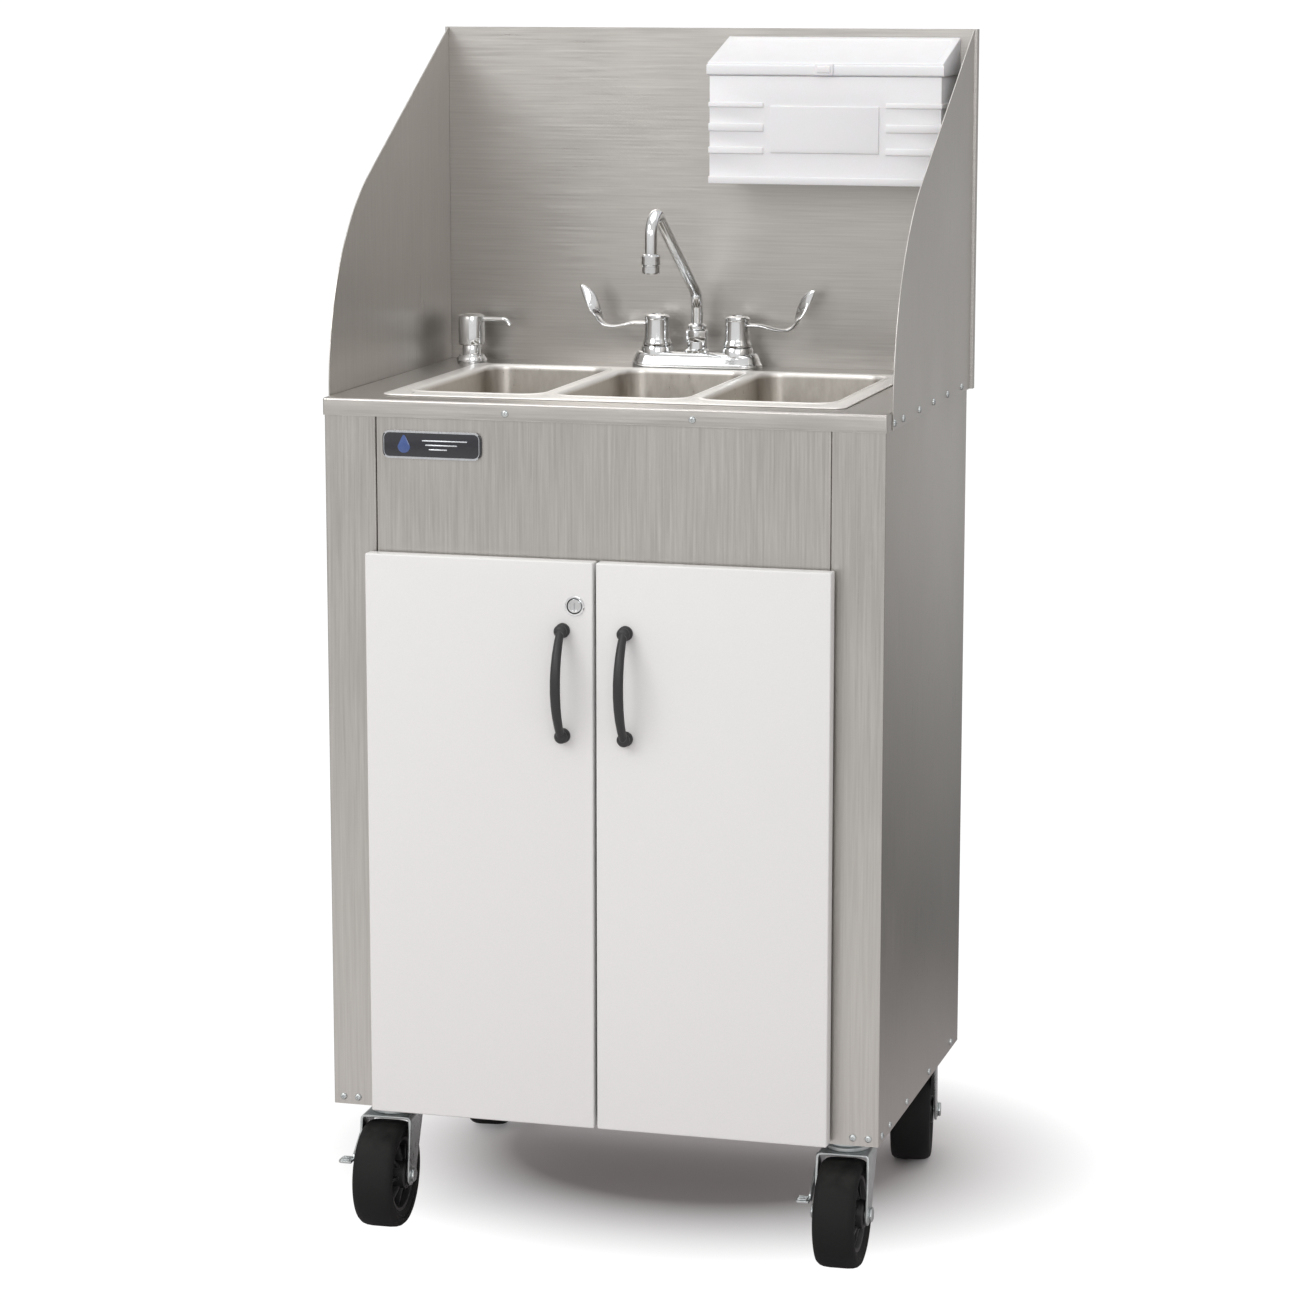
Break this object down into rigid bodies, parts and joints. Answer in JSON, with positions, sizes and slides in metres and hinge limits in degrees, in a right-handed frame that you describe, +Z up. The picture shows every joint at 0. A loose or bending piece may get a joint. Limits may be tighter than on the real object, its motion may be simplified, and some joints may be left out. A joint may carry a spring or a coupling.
{
  "type": "portable handwash sink",
  "caption": "Portable stainless hand-wash sink cabinet on casters, with basins, splash guards, wrist-blade faucet, soap pump, towel dispenser and doors.",
  "frame": {"origin": "middle of the overall box, on the floor under the wheels", "axes": "+X to the right of a person facing the doors, -Y out of the doors, +Z up"},
  "size_m": [0.6706, 0.5844, 1.404],
  "materials": {
    "cabinet_steel": "number 4 brushed stainless sheet, grain along the length",
    "basin_steel": "satin drawn stainless with polished rims",
    "chrome_fittings": "bright chrome plate",
    "door_laminate": "white laminate on board, satin",
    "pull_black": "black powder coat",
    "towel_plastic": "moulded white plastic, satin gloss",
    "badge_black": "black enamel plate",
    "tank_natural": "natural polyethylene, milky",
    "tank_grey": "grey polyethylene",
    "heater_enamel": "white stove enamel on a foam-filled case",
    "black_plastic": "moulded black plastic",
    "hose_rubber": "reinforced water hose",
    "drain_plastic": "white pipe plastic",
    "zinc_plated": "bright zinc plate on pressed steel",
    "wheel_rubber": "black moulded rubber on a black core"
  },
  "bodies": {
    "cabinet": {"side_panel_left": "cabinet_steel", "side_panel_right": "cabinet_steel", "floor_pan": "cabinet_steel", "back_panel": "cabinet_steel", "fascia_panel": "cabinet_steel", "name_badge": "badge_black", "counter_top": "cabinet_steel", "triple_sink": "basin_steel", "basin_drain_left": "chrome_fittings", "basin_drain_middle": "chrome_fittings", "basin_drain_right": "chrome_fittings", "drain_manifold": "drain_plastic", "splash_guard_left": "cabinet_steel", "splash_guard_right": "cabinet_steel", "backsplash": "cabinet_steel", "faucet_body": "chrome_fittings", "soap_base": "chrome_fittings", "towel_case": "towel_plastic", "hinge_arm_left_lower": "zinc_plated", "hinge_arm_left_upper": "zinc_plated", "hinge_arm_right_lower": "zinc_plated", "hinge_arm_right_upper": "zinc_plated", "caster_plate_front_left": "zinc_plated", "caster_plate_front_right": "zinc_plated", "caster_plate_rear_left": "zinc_plated", "caster_plate_rear_right": "zinc_plated", "waste_water_tank": "tank_grey", "fresh_water_tank": "tank_natural", "water_heater": "heater_enamel", "water_pump": "black_plastic", "pump_hose": "hose_rubber", "suction_hose": "hose_rubber", "hot_hose": "hose_rubber", "cold_hose": "hose_rubber", "control_box": "black_plastic"},
    "left_door": {"door_left": "door_laminate", "door_pull_left": "pull_black", "hinge_cup_left_lower": "zinc_plated", "hinge_cup_left_upper": "zinc_plated"},
    "right_door": {"door_right": "door_laminate", "door_pull_right": "pull_black", "hinge_cup_right_lower": "zinc_plated", "hinge_cup_right_upper": "zinc_plated"},
    "lock": {"lock_barrel": "chrome_fittings"},
    "spout": {"faucet_spout": "chrome_fittings"},
    "hot_handle": {"hot_handle": "chrome_fittings"},
    "cold_handle": {"cold_handle": "chrome_fittings"},
    "soap_head": {"soap_pump_head": "chrome_fittings"},
    "towel_lid": {"towel_lid": "towel_plastic"},
    "switch": {"pump_switch": "black_plastic"},
    "fork_front_left": {"caster_fork_front_left": "zinc_plated"},
    "wheel_front_left": {"caster_wheel_front_left": "wheel_rubber"},
    "pedal_front_left": {"brake_pedal_front_left": "zinc_plated"},
    "fork_front_right": {"caster_fork_front_right": "zinc_plated"},
    "wheel_front_right": {"caster_wheel_front_right": "wheel_rubber"},
    "pedal_front_right": {"brake_pedal_front_right": "zinc_plated"},
    "fork_rear_left": {"caster_fork_rear_left": "zinc_plated"},
    "wheel_rear_left": {"caster_wheel_rear_left": "wheel_rubber"},
    "fork_rear_right": {"caster_fork_rear_right": "zinc_plated"},
    "wheel_rear_right": {"caster_wheel_rear_right": "wheel_rubber"}
  },
  "joints": [
    {"name": "left_door_hinge", "type": "hinge", "parent": "cabinet", "child": "left_door", "pos_m": [-0.2732, -0.23744, 0.4881], "axis": [0, 0, -1], "range_deg": [0, 100]},
    {"name": "right_door_hinge", "type": "hinge", "parent": "cabinet", "child": "right_door", "pos_m": [0.2732, -0.23744, 0.4881], "axis": [0, 0, 1], "range_deg": [0, 100]},
    {"name": "lock_turn", "type": "hinge", "parent": "left_door", "child": "lock", "pos_m": [-0.0228, -0.23744, 0.7684], "axis": [0, 1, 0], "range_deg": [0, 90]},
    {"name": "spout_swivel", "type": "hinge", "parent": "cabinet", "child": "spout", "pos_m": [0, 0.19246, 1.041], "axis": [0, 0, 1], "range_deg": [-75, 75]},
    {"name": "hot_handle_turn", "type": "hinge", "parent": "cabinet", "child": "hot_handle", "pos_m": [-0.0508, 0.19246, 1.021], "axis": [0, 0, 1], "range_deg": [0, 90]},
    {"name": "cold_handle_turn", "type": "hinge", "parent": "cabinet", "child": "cold_handle", "pos_m": [0.0508, 0.19246, 1.021], "axis": [0, 0, -1], "range_deg": [0, 90]},
    {"name": "soap_press", "type": "slide", "parent": "cabinet", "child": "soap_head", "axis": [0, 0, -1], "range_m": [0, 0.012], "stiffness_N_per_m": 300, "springref_m": -0.012},
    {"name": "towel_lid_hinge", "type": "hinge", "parent": "cabinet", "child": "towel_lid", "pos_m": [0.172, 0.23326, 1.3943], "axis": [-1, 0, 0], "range_deg": [0, 85]},
    {"name": "switch_rock", "type": "hinge", "parent": "cabinet", "child": "switch", "pos_m": [-0.241, 0.16796, 0.638], "axis": [1, 0, 0], "range_deg": [0, 16]},
    {"name": "swivel_front_left", "type": "hinge", "parent": "cabinet", "child": "fork_front_left", "pos_m": [-0.278, -0.16574, 0.1495], "axis": [0, 0, 1], "continuous": true},
    {"name": "roll_front_left", "type": "hinge", "parent": "fork_front_left", "child": "wheel_front_left", "pos_m": [-0.27688, -0.19772, 0.0635], "axis": [-0.9994, -0.0349, 0], "continuous": true},
    {"name": "brake_front_left", "type": "hinge", "parent": "fork_front_left", "child": "pedal_front_left", "pos_m": [-0.31198, -0.16693, 0.118], "axis": [0.9994, 0.0349, 0], "range_deg": [0, 10]},
    {"name": "swivel_front_right", "type": "hinge", "parent": "cabinet", "child": "fork_front_right", "pos_m": [0.278, -0.16574, 0.1495], "axis": [0, 0, 1], "continuous": true},
    {"name": "roll_front_right", "type": "hinge", "parent": "fork_front_right", "child": "wheel_front_right", "pos_m": [0.27912, -0.19772, 0.0635], "axis": [-0.9994, -0.0349, 0], "continuous": true},
    {"name": "brake_front_right", "type": "hinge", "parent": "fork_front_right", "child": "pedal_front_right", "pos_m": [0.24402, -0.16693, 0.118], "axis": [0.9994, 0.0349, 0], "range_deg": [0, 10]},
    {"name": "swivel_rear_left", "type": "hinge", "parent": "cabinet", "child": "fork_rear_left", "pos_m": [-0.278, 0.19526, 0.1495], "axis": [0, 0, 1], "continuous": true},
    {"name": "roll_rear_left", "type": "hinge", "parent": "fork_rear_left", "child": "wheel_rear_left", "pos_m": [-0.28245, 0.22695, 0.0635], "axis": [0.9903, 0.1392, 0], "continuous": true},
    {"name": "swivel_rear_right", "type": "hinge", "parent": "cabinet", "child": "fork_rear_right", "pos_m": [0.278, 0.19526, 0.1495], "axis": [0, 0, 1], "continuous": true},
    {"name": "roll_rear_right", "type": "hinge", "parent": "fork_rear_right", "child": "wheel_rear_right", "pos_m": [0.27299, 0.22686, 0.0635], "axis": [0.9877, 0.1564, 0], "continuous": true}
  ]
}
